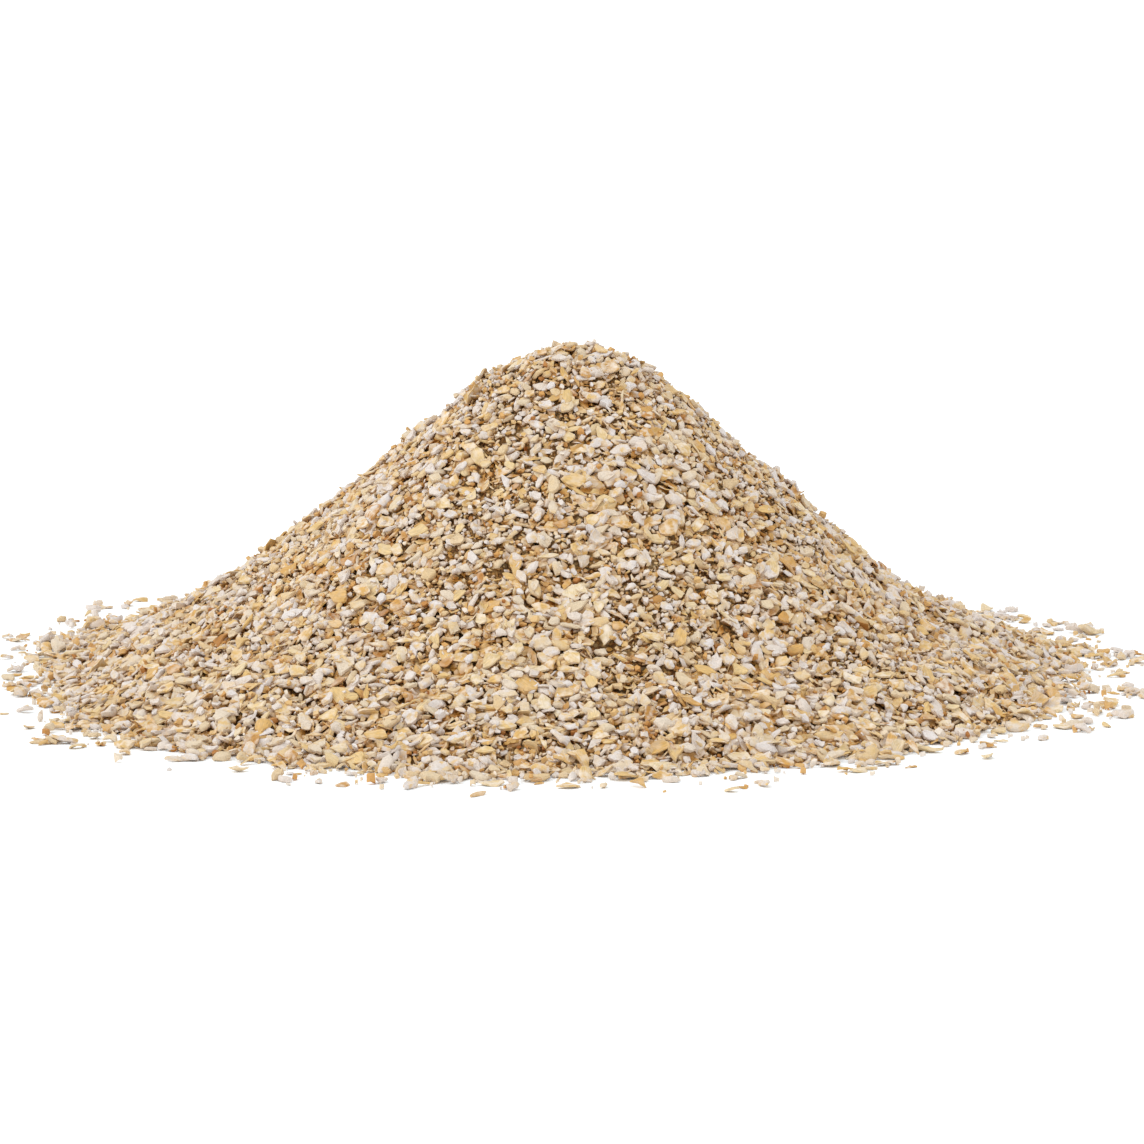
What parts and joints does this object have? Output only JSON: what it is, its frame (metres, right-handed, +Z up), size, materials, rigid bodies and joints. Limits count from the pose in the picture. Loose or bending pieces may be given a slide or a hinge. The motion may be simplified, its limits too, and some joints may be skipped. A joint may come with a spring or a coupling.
{
  "type": "heap of milled feed",
  "caption": "Round heap of coarse milled grain feed: husk flakes, floury flakes and grits lying at their slope of repose, with stray flakes round the foot.",
  "frame": {"origin": "middle of the flat face that the heap rests on", "axes": "+Z up through the top of the heap, -Y towards the front, +X to the right"},
  "size_m": [0.1988, 0.1993, 0.0585],
  "materials": {
    "packed_feed": "matte, loose",
    "husk": "satin",
    "flour": "matte",
    "grit": "matte"
  },
  "bodies": {
    "root": {"crown_floury_flakes": "flour", "crown_grits": "grit", "crown_husk_flakes": "husk", "lower_slope_back_floury_flakes": "flour", "lower_slope_back_grits": "grit", "lower_slope_back_husk_flakes": "husk", "lower_slope_front_floury_flakes": "flour", "lower_slope_front_grits": "grit", "lower_slope_front_husk_flakes": "husk", "lower_slope_left_floury_flakes": "flour", "lower_slope_left_grits": "grit", "lower_slope_left_husk_flakes": "husk", "lower_slope_right_floury_flakes": "flour", "lower_slope_right_grits": "grit", "lower_slope_right_husk_flakes": "husk", "middle_slope_back_floury_flakes": "flour", "middle_slope_back_grits": "grit", "middle_slope_back_husk_flakes": "husk", "middle_slope_front_floury_flakes": "flour", "middle_slope_front_grits": "grit", "middle_slope_front_husk_flakes": "husk", "middle_slope_left_floury_flakes": "flour", "middle_slope_left_grits": "grit", "middle_slope_left_husk_flakes": "husk", "middle_slope_right_floury_flakes": "flour", "middle_slope_right_grits": "grit", "middle_slope_right_husk_flakes": "husk", "packed_core": "packed_feed", "scatter_back_floury_flakes": "flour", "scatter_back_grits": "grit", "scatter_back_husk_flakes": "husk", "scatter_front_floury_flakes": "flour", "scatter_front_grits": "grit", "scatter_front_husk_flakes": "husk", "scatter_left_floury_flakes": "flour", "scatter_left_grits": "grit", "scatter_left_husk_flakes": "husk", "scatter_right_floury_flakes": "flour", "scatter_right_grits": "grit", "scatter_right_husk_flakes": "husk", "toe_back_floury_flakes": "flour", "toe_back_grits": "grit", "toe_back_husk_flakes": "husk", "toe_front_floury_flakes": "flour", "toe_front_grits": "grit", "toe_front_husk_flakes": "husk", "toe_left_floury_flakes": "flour", "toe_left_grits": "grit", "toe_left_husk_flakes": "husk", "toe_right_floury_flakes": "flour", "toe_right_grits": "grit", "toe_right_husk_flakes": "husk", "upper_slope_back_floury_flakes": "flour", "upper_slope_back_grits": "grit", "upper_slope_back_husk_flakes": "husk", "upper_slope_front_floury_flakes": "flour", "upper_slope_front_grits": "grit", "upper_slope_front_husk_flakes": "husk"}
  },
  "joints": []
}
